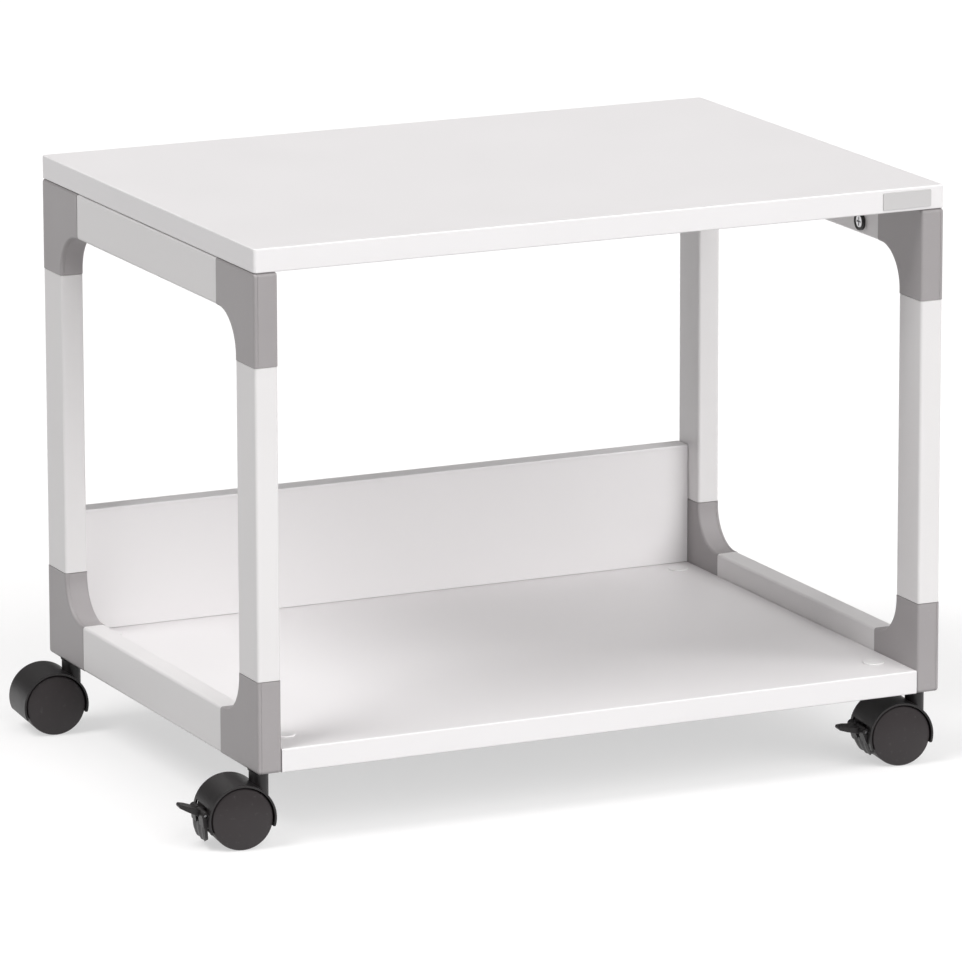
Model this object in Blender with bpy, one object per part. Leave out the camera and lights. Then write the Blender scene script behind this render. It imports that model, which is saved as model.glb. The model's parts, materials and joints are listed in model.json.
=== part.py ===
"""Mobile printer stand: two tubular side frames with moulded corners, a top panel, a lower shelf
with a low back panel, and four twin-wheel casters, the front two with a brake pedal.

Metres, +Z up, +X to the stand's right and -Y to its front. The origin is on the floor, in the
middle of the box that the stand fills as it stands here, with every caster trailing to the left.
"""

import math

import bmesh
import bpy
from mathutils import Matrix

# Overall size
WIDTH = 0.600
DEPTH = 0.432
HEIGHT = 0.477
FRAME_BOTTOM = 0.060
GAP = 0.0003

# Boards
BOARD = 0.019
BAND = 0.002
PANEL_CORNER_RADIUS = 0.003
BACK_PANEL_HEIGHT = 0.102
CAP_INSET_X = 0.039
CAP_INSET_Y = 0.039
CAP_RADIUS = 0.009
CAP_HEIGHT = 0.0012
CAP_SHANK_RADIUS = 0.007
CAP_SHANK_LENGTH = 0.010
LABEL_WIDTH = 0.043
LABEL_HEIGHT = 0.014
LABEL_THICKNESS = 0.0006
LABEL_INSET = 0.0335

# Side frames
SIDE = 0.020
RAIL_HEIGHT = 0.038
TUBE_RECESS = 0.0002
TUBE_WALL = 0.0015
TUBE_RADIUS = 0.0025
CORNER_LEG = 0.074
CORNER_FILLET = 0.033
CORNER_RADIUS = 0.003
CORNER_BEVEL = 0.001
SPIGOT_LENGTH = 0.020
CAM_SPACING = 0.226
CAM_DROP = 0.027
CAM_RADIUS = 0.0075
CAM_FLANGE = 0.003
CAM_SHANK_RADIUS = 0.0057
CAM_SHANK_LENGTH = 0.012

# Casters, in a frame with x along the trail, y along the axle and z up from the floor
WHEEL_RADIUS = 0.025
WHEEL_DOME = 0.0255
TRAIL = 0.0195
STEM_INSET_X = 0.010
STEM_INSET_Y = 0.023
HOOD_RADIUS = 0.0275
HOOD_HALF_WIDTH = 0.0225
WELL_RADIUS = 0.0259
WEB_HALF = 0.0035
HOOD_TRAILING_END = math.radians(-22.0)
HOOD_LEADING_END = math.radians(195.4)
NECK_RADIUS = 0.00775
NECK_TOP = 0.0583
STEM_RADIUS = 0.0051
STEM_BOTTOM = 0.0498
STEM_TOP = 0.084
SOCKET_RADIUS = 0.007
SOCKET_FLANGE_RADIUS = 0.0086
SOCKET_FLANGE = 0.0011
SOCKET_DEPTH = 0.028
AXLE_RADIUS = 0.003
AXLE_HALF = 0.0186
STEM_GROOVE = 0.0006
STEM_GROOVE_TOP = 0.0054
STEM_GROOVE_LENGTH = 0.0026
STEM_CHAMFER = 0.0015

# A wheel, measured outwards from the middle of the caster
DISC_CROWN_RADIUS = 0.0150
DISC_CROWN = 0.0247
SHOULDER_RADIUS = 0.0236
SHOULDER = 0.0230
TREAD_OUTER = 0.0216
TREAD_INNER = 0.0048
RECESS_RADIUS = 0.0218
RECESS_TAPER = 0.0005
RECESS_FLOOR = 0.0196
HUB_RADIUS = 0.0066
HUB_FACE = 0.0042
BORE_FLOOR = 0.0190

# Brake pedals, measured from the axle
PIVOT_X = 0.0286
PIVOT_Z = 0.0040
PIN_RADIUS = 0.0012
PIN_HALF = 0.0155
KNUCKLE_RADIUS = 0.0032
KNUCKLE_INNER = 0.0039
KNUCKLE_OUTER = 0.0160
SHOE_INNER = 0.0254
SHOE_OUTER = 0.0284
SHOE_HALF_WIDTH = 0.017
SHOE_TOP = math.radians(-8.0)
SHOE_BOTTOM = math.radians(-42.0)
PEDAL_LIFT = math.radians(14.0)
BRAKE_WINDOW_HALF = 0.018
BRAKE_WINDOW_TOP = 0.009
ARM_BOTTOM = -0.0095
ARM_TOP = -0.0012
ARM_OUTER = 0.0027
LEVER_HALF_WIDTH = 0.0075
LEVER_ROOT = 0.0034
LEVER_TIP = 0.0020

# Each caster's side, end, swivel angle from straight left, and how far its pedal is lifted
CASTERS = {
    "front_left": (-1, -1, math.radians(-6.7), PEDAL_LIFT),
    "front_right": (1, -1, math.radians(-6.4), 0.0),
    "rear_left": (-1, 1, math.radians(-5.5), None),
    "rear_right": (1, 1, math.radians(-6.0), None),
}

# The front left pedal stands out on the left and the rear wheels a little at the back, so the middle
# of the stand's box is half of that away from the middle of the frame
LEVER_REACH = 0.0180
STAND_X = (TRAIL + PIVOT_X + LEVER_REACH - STEM_INSET_X) / 2
REAR_WHEEL_OVERHANG = 0.0042
STAND_Y = -REAR_WHEEL_OVERHANG / 2

ROUND = 24
FINE = math.radians(35.0)


def clear_scene():
    for thing in list(bpy.data.objects):
        bpy.data.objects.remove(thing, do_unlink=True)


def material(name, colour, roughness, metallic=0.0):
    made = bpy.data.materials.new(name)
    made.use_nodes = True
    shader = made.node_tree.nodes["Principled BSDF"]
    shader.inputs["Base Color"].default_value = (*colour, 1.0)
    shader.inputs["Roughness"].default_value = roughness
    shader.inputs["Metallic"].default_value = metallic
    return made


def make_empty(name, location=(0, 0, 0), turn=0.0, parent=None):
    empty = bpy.data.objects.new(name, None)
    bpy.context.scene.collection.objects.link(empty)
    empty.location = location
    empty.rotation_euler = (0, 0, turn)
    empty.parent = parent
    return empty


def place(name, mesh, finish, parent, location=(0, 0, 0), rotation=(0, 0, 0)):
    """Adds one sub-part, which may share its mesh with others."""
    part = bpy.data.objects.new(name, mesh)
    bpy.context.scene.collection.objects.link(part)
    if not mesh.materials:
        mesh.materials.append(finish)
    part.parent = parent
    part.location = location
    part.rotation_euler = rotation
    return part


def finished_mesh(bm, name):
    """Closes the bmesh's work: outward normals, round faces smooth and real edges sharp."""
    bmesh.ops.recalc_face_normals(bm, faces=bm.faces)
    mesh = bpy.data.meshes.new(name)
    bm.to_mesh(mesh)
    bm.free()
    mesh.shade_smooth()
    mesh.set_sharp_from_angle(angle=FINE)
    return mesh


def arc(centre, radius, start, end, steps):
    """Points along an arc, both ends included."""
    points = []
    for i in range(steps + 1):
        angle = start + (end - start) * i / steps
        points.append((centre[0] + radius * math.cos(angle), centre[1] + radius * math.sin(angle)))
    return points


def circle(centre, radius, steps=ROUND):
    return arc(centre, radius, 0, math.tau, steps)[:-1]


def rectangle(low, high):
    return [(low[0], low[1]), (high[0], low[1]), (high[0], high[1]), (low[0], high[1])]


def rounded_rectangle(size_a, size_b, radius, steps=2):
    a, b = size_a / 2 - radius, size_b / 2 - radius
    quarter = math.pi / 2
    points = []
    for i, centre in enumerate(((a, b), (-a, b), (-a, -b), (a, -b))):
        points += arc(centre, radius, i * quarter, (i + 1) * quarter, steps)
    return points


# Turns (a, b, along) into (x, y, z) for a prism that runs along each axis
AXES = {
    "X": lambda a, b, along: (along, a, b),
    "Y": lambda a, b, along: (a, along, b),
    "Z": lambda a, b, along: (a, b, along),
}


def prism(outline, axis, low, high, bevel=0.0):
    """Extrudes a closed outline along an axis; bevel chamfers the edges round both ends."""
    bm = bmesh.new()
    ends = []
    for along in (low, high):
        ring = [bm.verts.new(AXES[axis](a, b, along)) for a, b in outline]
        ends.append(bm.faces.new(ring))
    rims = [edge for face in ends for edge in face.edges]
    count = len(outline)
    rings = [list(face.verts) for face in ends]
    for i in range(count):
        j = (i + 1) % count
        bm.faces.new((rings[0][i], rings[0][j], rings[1][j], rings[1][i]))
    if bevel:
        bmesh.ops.bevel(bm, geom=rims, offset=bevel, segments=1, affect="EDGES")
    return finished_mesh(bm, "prism")


def box(low, high, bevel=0.0):
    """A block between two corners; bevel chamfers all its edges."""
    bm = bmesh.new()
    size = [high[i] - low[i] for i in range(3)]
    middle = [(high[i] + low[i]) / 2 for i in range(3)]
    bmesh.ops.create_cube(bm, size=1.0, matrix=Matrix.Translation(middle) @ Matrix.Diagonal((*size, 1.0)))
    if bevel:
        bmesh.ops.bevel(bm, geom=list(bm.edges), offset=bevel, segments=1, affect="EDGES")
    return finished_mesh(bm, "box")


def turned(profile, steps=ROUND):
    """Revolves (radius, height) points about Z. A profile that doesn't start and end on the axis is
    closed into a ring."""
    bm = bmesh.new()
    rings = []
    for radius, height in profile:
        if radius == 0:
            rings.append([bm.verts.new((0, 0, height))])
        else:
            rings.append([bm.verts.new((x, y, height)) for x, y in circle((0, 0), radius, steps)])
    pairs = list(zip(rings, rings[1:]))
    if profile[0][0] > 0:
        pairs.append((rings[-1], rings[0]))
    for low, high in pairs:
        for i in range(steps):
            j = (i + 1) % steps
            corners = [low[i % len(low)], low[j % len(low)], high[j % len(high)], high[i % len(high)]]
            bm.faces.new(list(dict.fromkeys(corners)))
    return finished_mesh(bm, "turned")


def combined(mesh, *steps):
    """Joins and cuts a mesh with others, in order; each step is (operation, mesh)."""
    made = []
    for each in (mesh, *(tool for _, tool in steps)):
        thing = bpy.data.objects.new("working", each)
        bpy.context.scene.collection.objects.link(thing)
        made.append(thing)
    for (operation, _), tool in zip(steps, made[1:]):
        modifier = made[0].modifiers.new(operation, "BOOLEAN")
        modifier.operation = operation
        modifier.object = tool
        modifier.solver = "EXACT"
    bpy.context.view_layer.update()
    graph = bpy.context.evaluated_depsgraph_get()
    result = bpy.data.meshes.new_from_object(made[0].evaluated_get(graph))
    for thing in made:
        bpy.data.objects.remove(thing, do_unlink=True)
    result.shade_smooth()
    result.set_sharp_from_angle(angle=FINE)
    return result


# The stand's own pieces. Their coordinates are the frame's: x and y from its middle, z from the floor.

def add_top_panel(stand, melamine, banding, blank):
    top, under = HEIGHT, HEIGHT - BOARD
    half_x, half_y = WIDTH / 2 - BAND, DEPTH / 2 - BAND
    core = box((-half_x + GAP, -half_y + GAP, under), (half_x - GAP, half_y - GAP, top))
    place("top_panel", core, melamine, stand)
    rim = prism(rounded_rectangle(WIDTH, DEPTH, PANEL_CORNER_RADIUS), "Z", under, top, bevel=BAND / 4)
    hollow = box((-half_x, -half_y, under - BOARD), (half_x, half_y, top + BOARD))
    place("top_panel_edge_band", combined(rim, ("DIFFERENCE", hollow)), banding, stand)
    middle_x = WIDTH / 2 - LABEL_INSET
    middle_z = HEIGHT - BOARD / 2
    front = -DEPTH / 2 - GAP
    plate = box(
        (middle_x - LABEL_WIDTH / 2, front - LABEL_THICKNESS, middle_z - LABEL_HEIGHT / 2),
        (middle_x + LABEL_WIDTH / 2, front, middle_z + LABEL_HEIGHT / 2),
    )
    place("label_plate", plate, blank, stand)


def add_shelf(stand, melamine, banding, cover):
    half_x = WIDTH / 2 - SIDE - GAP
    front, rear = -DEPTH / 2, DEPTH / 2
    top = FRAME_BOTTOM + BOARD
    board = box((-half_x, front + BAND + GAP, FRAME_BOTTOM), (half_x, rear, top))
    cap = turned([
        (0, -CAP_SHANK_LENGTH), (CAP_SHANK_RADIUS, -CAP_SHANK_LENGTH), (CAP_SHANK_RADIUS, GAP),
        (CAP_RADIUS, GAP), (CAP_RADIUS, CAP_HEIGHT - GAP), (CAP_RADIUS - 2 * GAP, CAP_HEIGHT),
        (0, CAP_HEIGHT),
    ], 16)
    spots = []
    cuts = []
    for side in (-1, 1):
        for end in (-1, 1):
            x, y = side * (WIDTH / 2 - CAP_INSET_X), end * (DEPTH / 2 - CAP_INSET_Y)
            spots.append((side, end, x, y))
            hole = circle((x, y), CAP_SHANK_RADIUS + GAP)
            depth = CAP_SHANK_LENGTH + 2 * GAP
            cuts.append(("DIFFERENCE", prism(hole, "Z", top - depth, top + depth)))
    place("lower_shelf", combined(board, *cuts), melamine, stand)
    for side, end, x, y in spots:
        name = f"shelf_cap_{'rear' if end > 0 else 'front'}_{'right' if side > 0 else 'left'}"
        place(name, cap, cover, stand, (x, y, top))
    band = box((-half_x, front, FRAME_BOTTOM), (half_x, front + BAND, top), bevel=BAND / 4)
    place("shelf_edge_band", band, banding, stand)


def add_back_panel(stand, melamine, banding):
    half_x = WIDTH / 2 - SIDE - GAP
    rear = DEPTH / 2
    low = FRAME_BOTTOM + BOARD + GAP
    high = low + BACK_PANEL_HEIGHT - BAND
    place("back_panel", box((-half_x, rear - BOARD, low), (half_x, rear, high)), melamine, stand)
    band = box((-half_x, rear - BOARD, high + GAP), (half_x, rear, high + BAND), bevel=BAND / 4)
    place("back_panel_edge_band", band, banding, stand)


def tube(length, cam_holes=False):
    """A rectangular tube along Z from its middle, SIDE wide in x. A top rail has two holes in the
    wall at -x for the cams."""
    size_x, size_y = SIDE - 2 * TUBE_RECESS, RAIL_HEIGHT - 2 * TUBE_RECESS
    outer = rounded_rectangle(size_x, size_y, TUBE_RADIUS)
    half_x, half_y = size_x / 2 - TUBE_WALL, size_y / 2 - TUBE_WALL
    inner = rectangle((-half_x, -half_y), (half_x, half_y))
    cuts = [("DIFFERENCE", prism(inner, "Z", -length, length))]
    if cam_holes:
        drop = RAIL_HEIGHT / 2 - CAM_DROP
        for along in (-CAM_SPACING / 2, CAM_SPACING / 2):
            hole = circle((drop, along), CAM_SHANK_RADIUS + GAP, 16)
            cuts.append(("DIFFERENCE", prism(hole, "X", -SIDE, 0)))
    return combined(prism(outer, "Z", -length / 2, length / 2), *cuts)


def corner(with_socket):
    """An L-shaped connector in the YZ plane, its outer corner at the origin and its legs along +y and
    +z, with a spigot on the end of each leg. The bottom ones have a hole for the caster's socket."""
    leg, wide, fillet = CORNER_LEG, RAIL_HEIGHT, CORNER_FILLET
    inner = (wide + fillet, wide + fillet)
    outline = arc((CORNER_RADIUS, CORNER_RADIUS), CORNER_RADIUS, math.pi, 1.5 * math.pi, 3)
    outline += [(leg, 0), (leg, wide)]
    outline += arc(inner, fillet, 1.5 * math.pi, math.pi, 8)
    outline += [(wide, leg), (0, leg)]
    body = prism(outline, "X", -SIDE / 2, SIDE / 2, bevel=CORNER_BEVEL)
    clear = TUBE_RECESS + TUBE_WALL + GAP
    half, low, high = SIDE / 2 - clear, clear, RAIL_HEIGHT - clear
    root, end = leg - wide / 2, leg + SPIGOT_LENGTH
    steps = [
        ("UNION", box((-half, root, low), (half, end, high))),
        ("UNION", box((-half, low, root), (half, high, end))),
    ]
    if with_socket:
        hole = circle((0, STEM_INSET_Y), SOCKET_RADIUS + GAP)
        deep = SOCKET_DEPTH + SIDE / 10
        steps.append(("DIFFERENCE", prism(hole, "Z", -deep, deep)))
    return combined(body, *steps)


def add_side_frames(stand, powder_coat, grey, housing):
    top = HEIGHT - BOARD - GAP
    post_height = top - FRAME_BOTTOM - 2 * (CORNER_LEG + GAP)
    rail_length = DEPTH - 2 * (CORNER_LEG + GAP)
    post, rail, top_rail = tube(post_height), tube(rail_length), tube(rail_length, cam_holes=True)
    foot_corner, top_corner = corner(True), corner(False)
    cam = turned([
        (0, -CAM_SHANK_LENGTH), (CAM_SHANK_RADIUS, -CAM_SHANK_LENGTH), (CAM_SHANK_RADIUS, GAP),
        (CAM_RADIUS, GAP), (CAM_RADIUS, CAM_FLANGE), (0, CAM_FLANGE),
    ], 16)
    half_turn = math.pi
    for side, hand in ((-1, "left"), (1, "right")):
        x = side * (WIDTH - SIDE) / 2
        for end, word in ((-1, "front"), (1, "rear")):
            y = end * (DEPTH - RAIL_HEIGHT) / 2
            place(f"post_{word}_{hand}", post, powder_coat, stand, (x, y, (top + FRAME_BOTTOM) / 2))
            turn = 0 if end < 0 else half_turn
            outer = end * DEPTH / 2
            place(f"corner_bottom_{word}_{hand}", foot_corner, grey, stand,
                  (x, outer, FRAME_BOTTOM), (0, 0, turn))
            rotation = (0, half_turn, 0) if end < 0 else (half_turn, 0, 0)
            place(f"corner_top_{word}_{hand}", top_corner, grey, stand, (x, outer, top), rotation)
            lean = -side * math.pi / 2
            place(f"top_cam_{word}_{hand}", cam, housing, stand,
                  (x - side * SIDE / 2, end * CAM_SPACING / 2, top - CAM_DROP), (0, lean, 0))
        # A rail is a tube laid along y; the top rail's holes face the middle of the stand
        rotation = (math.pi / 2, 0, 0) if side > 0 else (math.pi / 2, 0, half_turn)
        low_z = FRAME_BOTTOM + RAIL_HEIGHT / 2
        place(f"rail_bottom_{hand}", rail, powder_coat, stand, (x, 0, low_z), rotation)
        place(f"rail_top_{hand}", top_rail, powder_coat, stand, (x, 0, top - RAIL_HEIGHT / 2), rotation)


# The casters. Each is built in its own frame, and an empty on the swivel axis carries it.

def hood(with_brake):
    """The moulded body: a mudguard over both wheels, a web between them and a neck for the stem."""
    axle = (TRAIL, WHEEL_RADIUS)
    outline = arc(axle, HOOD_RADIUS, HOOD_TRAILING_END, HOOD_LEADING_END, 20)
    body = prism(outline, "Y", -HOOD_HALF_WIDTH, HOOD_HALF_WIDTH)
    neck = prism(circle((0, 0), NECK_RADIUS), "Z", WHEEL_RADIUS, NECK_TOP)
    well = circle(axle, WELL_RADIUS, 32)
    far = 2 * HOOD_HALF_WIDTH
    steps = [
        ("UNION", neck),
        ("DIFFERENCE", prism(well, "Y", WEB_HALF, far)),
        ("DIFFERENCE", prism(well, "Y", -far, -WEB_HALF)),
    ]
    if with_brake:
        window = arc(axle, SHOE_INNER - 2 * GAP, math.radians(-60), math.radians(20), 8)
        window[-1] = (window[-1][0], WHEEL_RADIUS + BRAKE_WINDOW_TOP)
        window += [(TRAIL + far, WHEEL_RADIUS + BRAKE_WINDOW_TOP), (TRAIL + far, window[0][1])]
        pivot = (TRAIL + PIVOT_X, WHEEL_RADIUS + PIVOT_Z)
        lug_half = KNUCKLE_RADIUS - GAP
        lug = arc(pivot, lug_half, -math.pi / 2, math.pi / 2, 6)
        lug += [(TRAIL + WHEEL_RADIUS - SIDE / 4, pivot[1] + lug_half),
                (TRAIL + WHEEL_RADIUS - SIDE / 4, pivot[1] - lug_half)]
        web = WEB_HALF - GAP
        steps += [
            ("DIFFERENCE", prism(window, "Y", -BRAKE_WINDOW_HALF, BRAKE_WINDOW_HALF)),
            ("UNION", prism(lug, "Y", -web, web)),
            ("DIFFERENCE", prism(circle(pivot, PIN_RADIUS + GAP, 12), "Y", -far, far)),
        ]
    bore = circle((0, 0), STEM_RADIUS + GAP)
    steps += [
        ("DIFFERENCE", prism(circle(axle, AXLE_RADIUS + GAP, 16), "Y", -far, far)),
        ("DIFFERENCE", prism(bore, "Z", STEM_BOTTOM - GAP, 2 * NECK_TOP)),
    ]
    return combined(body, *steps)


def wheel():
    """One wheel about Z: a domed outer disc, a tread, and a hub with a blind bore for the axle."""
    return turned([
        (0, WHEEL_DOME), (DISC_CROWN_RADIUS, DISC_CROWN), (SHOULDER_RADIUS, SHOULDER),
        (WHEEL_RADIUS, TREAD_OUTER), (WHEEL_RADIUS, TREAD_INNER), (RECESS_RADIUS, TREAD_INNER),
        (RECESS_RADIUS - RECESS_TAPER, RECESS_FLOOR), (HUB_RADIUS, RECESS_FLOOR), (HUB_RADIUS, HUB_FACE),
        (AXLE_RADIUS + GAP, HUB_FACE), (AXLE_RADIUS + GAP, BORE_FLOOR), (0, BORE_FLOOR),
    ])


def stem():
    """A plain stem with a groove near its top for the ring that grips the socket."""
    groove = STEM_RADIUS - STEM_GROOVE
    high = STEM_TOP - STEM_GROOVE_TOP
    low = high - STEM_GROOVE_LENGTH
    return turned([
        (0, STEM_BOTTOM), (STEM_RADIUS, STEM_BOTTOM), (STEM_RADIUS, low),
        (groove, low + STEM_GROOVE), (groove, high - STEM_GROOVE), (STEM_RADIUS, high),
        (STEM_RADIUS, STEM_TOP - STEM_CHAMFER), (STEM_RADIUS - STEM_CHAMFER, STEM_TOP), (0, STEM_TOP),
    ], 16)


def socket():
    """The sleeve in the bottom corner, with a flange under it; its height is from the floor."""
    flange_top = FRAME_BOTTOM - GAP
    flange_bottom = flange_top - SOCKET_FLANGE
    inner = STEM_RADIUS + GAP
    return turned([
        (inner, flange_bottom), (SOCKET_FLANGE_RADIUS, flange_bottom),
        (SOCKET_FLANGE_RADIUS, flange_top), (SOCKET_RADIUS, flange_top),
        (SOCKET_RADIUS, FRAME_BOTTOM + SOCKET_DEPTH), (inner, FRAME_BOTTOM + SOCKET_DEPTH),
    ], 16)


def brake_pedal():
    """The pedal pressed down, about its pivot: a shoe that hugs both treads, two knuckles on the
    pin and a lever to tread on."""
    axle = (-PIVOT_X, -PIVOT_Z)
    shoe = arc(axle, SHOE_OUTER, SHOE_TOP, SHOE_BOTTOM, 8) + arc(axle, SHOE_INNER, SHOE_BOTTOM, SHOE_TOP, 8)
    arm = [(-ARM_OUTER, ARM_BOTTOM), (-2 * GAP, ARM_BOTTOM), (ARM_OUTER, ARM_TOP), (-ARM_OUTER, ARM_TOP)]
    tip = (LEVER_REACH, LEVER_TIP)
    lever = [(KNUCKLE_RADIUS / 3, -LEVER_ROOT), (tip[0], tip[1] - LEVER_TIP * 0.8),
             (tip[0] + LEVER_TIP * 0.4, tip[1] - LEVER_TIP * 0.3),
             (tip[0] + LEVER_TIP * 0.3, tip[1] + LEVER_TIP * 0.7),
             (KNUCKLE_RADIUS * 0.75, KNUCKLE_RADIUS * 0.75)]
    steps = []
    for side in (-1, 1):
        ends = sorted((side * KNUCKLE_INNER, side * KNUCKLE_OUTER))
        steps.append(("UNION", prism(circle((0, 0), KNUCKLE_RADIUS, 16), "Y", *ends)))
        steps.append(("UNION", prism(arm, "Y", ends[0] + GAP, ends[1] - GAP)))
    slot = circle((0, 0), KNUCKLE_RADIUS + 2 * GAP, 16)
    half = KNUCKLE_INNER - GAP / 3
    pin_hole = circle((0, 0), PIN_RADIUS + GAP, 12)
    steps += [
        ("UNION", prism(lever, "Y", -LEVER_HALF_WIDTH, LEVER_HALF_WIDTH)),
        ("DIFFERENCE", prism(slot, "Y", -half, half)),
        ("DIFFERENCE", prism(pin_hole, "Y", -2 * SHOE_HALF_WIDTH, 2 * SHOE_HALF_WIDTH)),
    ]
    return combined(prism(shoe, "Y", -SHOE_HALF_WIDTH, SHOE_HALF_WIDTH), *steps)


def add_casters(stand, plastic, steel, sleeve):
    hoods = {False: hood(False), True: hood(True)}
    wheel_mesh, stem_mesh, socket_mesh, pedal_mesh = wheel(), stem(), socket(), brake_pedal()
    axle_mesh = prism(circle((0, 0), AXLE_RADIUS, 16), "Y", -AXLE_HALF, AXLE_HALF)
    pin_mesh = prism(circle((0, 0), PIN_RADIUS, 12), "Y", -PIN_HALF, PIN_HALF)
    quarter = math.pi / 2
    axle = (TRAIL, 0, WHEEL_RADIUS)
    pivot = (TRAIL + PIVOT_X, 0, WHEEL_RADIUS + PIVOT_Z)
    for name, (side, end, swivel, lift) in CASTERS.items():
        x = side * (WIDTH / 2 - STEM_INSET_X)
        y = end * (DEPTH / 2 - STEM_INSET_Y)
        place(f"socket_{name}", socket_mesh, sleeve, stand, (x, y, 0))
        carrier = make_empty(f"swivel_axis_{name}", (x, y, 0), math.pi + swivel, stand)
        place(f"hood_{name}", hoods[lift is not None], plastic, carrier)
        place(f"stem_{name}", stem_mesh, steel, carrier)
        place(f"axle_{name}", axle_mesh, steel, carrier, axle)
        place(f"wheel_front_{name}", wheel_mesh, plastic, carrier, axle, (-quarter, 0, 0))
        place(f"wheel_back_{name}", wheel_mesh, plastic, carrier, axle, (quarter, 0, 0))
        if lift is not None:
            place(f"brake_pedal_{name}", pedal_mesh, plastic, carrier, pivot, (0, -lift, 0))
            place(f"brake_pin_{name}", pin_mesh, steel, carrier, pivot)


def main():
    clear_scene()
    melamine = material("white_melamine", (0.80, 0.80, 0.80), 0.42)
    banding = material("white_edge_band", (0.84, 0.84, 0.84), 0.35)
    powder_coat = material("light_grey_powder_coat", (0.66, 0.65, 0.65), 0.38)
    grey = material("grey_moulded_plastic", (0.29, 0.28, 0.275), 0.48)
    black = material("black_nylon", (0.016, 0.015, 0.016), 0.42)
    housing = material("black_cam_housing", (0.02, 0.02, 0.02), 0.45)
    cover = material("white_cam_cover", (0.76, 0.76, 0.76), 0.40)
    blank = material("blank_label", (0.72, 0.72, 0.73), 0.30)
    steel = material("zinc_plated_steel", (0.62, 0.62, 0.63), 0.30, 1.0)
    sleeve = material("black_socket_sleeve", (0.02, 0.02, 0.02), 0.55)

    stand = make_empty("stand", (STAND_X, STAND_Y, 0))
    add_top_panel(stand, melamine, banding, blank)
    add_shelf(stand, melamine, banding, cover)
    add_back_panel(stand, melamine, banding)
    add_side_frames(stand, powder_coat, grey, housing)
    add_casters(stand, black, steel, sleeve)
    bpy.context.view_layer.update()


main()
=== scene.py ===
"""The looks of the mobile printer stand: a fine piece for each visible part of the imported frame, the
material of every surface, the studio and the camera. Metres, in the frame's own axes.
"""

import json
import math

import bmesh
import bpy
from mathutils import Matrix, Vector


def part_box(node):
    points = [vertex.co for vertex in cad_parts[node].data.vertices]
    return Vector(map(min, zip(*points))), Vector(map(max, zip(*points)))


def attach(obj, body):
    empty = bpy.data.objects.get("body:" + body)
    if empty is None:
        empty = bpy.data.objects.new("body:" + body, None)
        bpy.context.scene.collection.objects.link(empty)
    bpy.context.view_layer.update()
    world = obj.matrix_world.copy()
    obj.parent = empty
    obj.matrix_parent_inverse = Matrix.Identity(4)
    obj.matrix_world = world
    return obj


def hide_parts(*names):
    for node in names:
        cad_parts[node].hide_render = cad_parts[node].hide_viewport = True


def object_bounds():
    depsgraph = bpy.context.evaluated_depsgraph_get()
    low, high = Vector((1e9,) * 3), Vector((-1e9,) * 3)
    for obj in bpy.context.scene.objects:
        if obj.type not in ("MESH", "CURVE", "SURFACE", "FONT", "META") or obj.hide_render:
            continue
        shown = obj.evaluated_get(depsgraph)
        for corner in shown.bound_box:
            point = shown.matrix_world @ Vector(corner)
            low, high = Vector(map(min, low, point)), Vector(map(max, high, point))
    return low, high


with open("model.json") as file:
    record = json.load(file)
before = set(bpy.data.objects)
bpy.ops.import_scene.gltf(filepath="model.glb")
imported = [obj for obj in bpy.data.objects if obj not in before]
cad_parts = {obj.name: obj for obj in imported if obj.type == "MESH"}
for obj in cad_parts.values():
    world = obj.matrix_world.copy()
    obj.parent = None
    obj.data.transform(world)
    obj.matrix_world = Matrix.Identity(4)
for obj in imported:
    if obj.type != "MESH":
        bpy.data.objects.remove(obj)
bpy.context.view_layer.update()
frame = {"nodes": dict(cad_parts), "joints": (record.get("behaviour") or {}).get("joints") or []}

# Camera: where it looks, from which side, and how far away it stands
AZIMUTH = math.radians(-25.12)
ELEVATION = math.radians(13.14)
ROLL = math.radians(-0.15)
DISTANCE = 6.33
TARGET = Vector((0.014, -0.017, 0.224))
SENSOR = 36.0
LENS = 292.4

# Boards
BAND = 0.002
BAND_ROUND = 0.0010
SEAM = 0.00006
BOARD_CORNER = 0.003
LABEL_CORNER = 0.0012

# Covers on the shelf
CAP_PROUD = 0.0012
CAP_ROUND = 0.0007
CAP_SHANK_PART = 0.78
CAP_HOLE_PART = 0.80

# Tubes and moulded corners
TUBE_WALL = 0.0015
TUBE_CORNER = 0.0025
TUBE_CHAMFER = 0.0003
CORNER_FILLET = 0.033
CORNER_ROUND = 0.003
CORNER_EDGE = 0.0022
PARTING_DEPTH = 0.0003
PARTING_INSET = 0.0030
SPIGOT_CLEARANCE = 0.002
SPIGOT_LENGTH = 0.020
SOCKET_HOLE_RADIUS = 0.0073

# Casters, from the axle
HOOD_RADIUS = 0.0275
HOOD_HALF_WIDTH = 0.0225
HOOD_EDGE = 0.0005
WELL_RADIUS = 0.0259
WEB_HALF = 0.0035
HOOD_TRAILING_END = math.radians(-22.0)
HOOD_LEADING_END = math.radians(195.4)
NECK_RADIUS = 0.00775
NECK_EDGE = 0.0006
BORE_RADIUS = 0.0054
BORE_BOTTOM = 0.0495
AXLE_RADIUS = 0.0033
WHEEL_INNER = 0.0048
WHEEL_OUTER = 0.0255
DISC_FALL = 0.0046
DISC_POWER = 2.4
TREAD_ROUND = 0.0022
RIM_GROOVE = 0.0004
WHEEL_RECESS = 0.0196
RECESS_RADIUS = 0.0215
HUB_RADIUS = 0.0066

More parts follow.
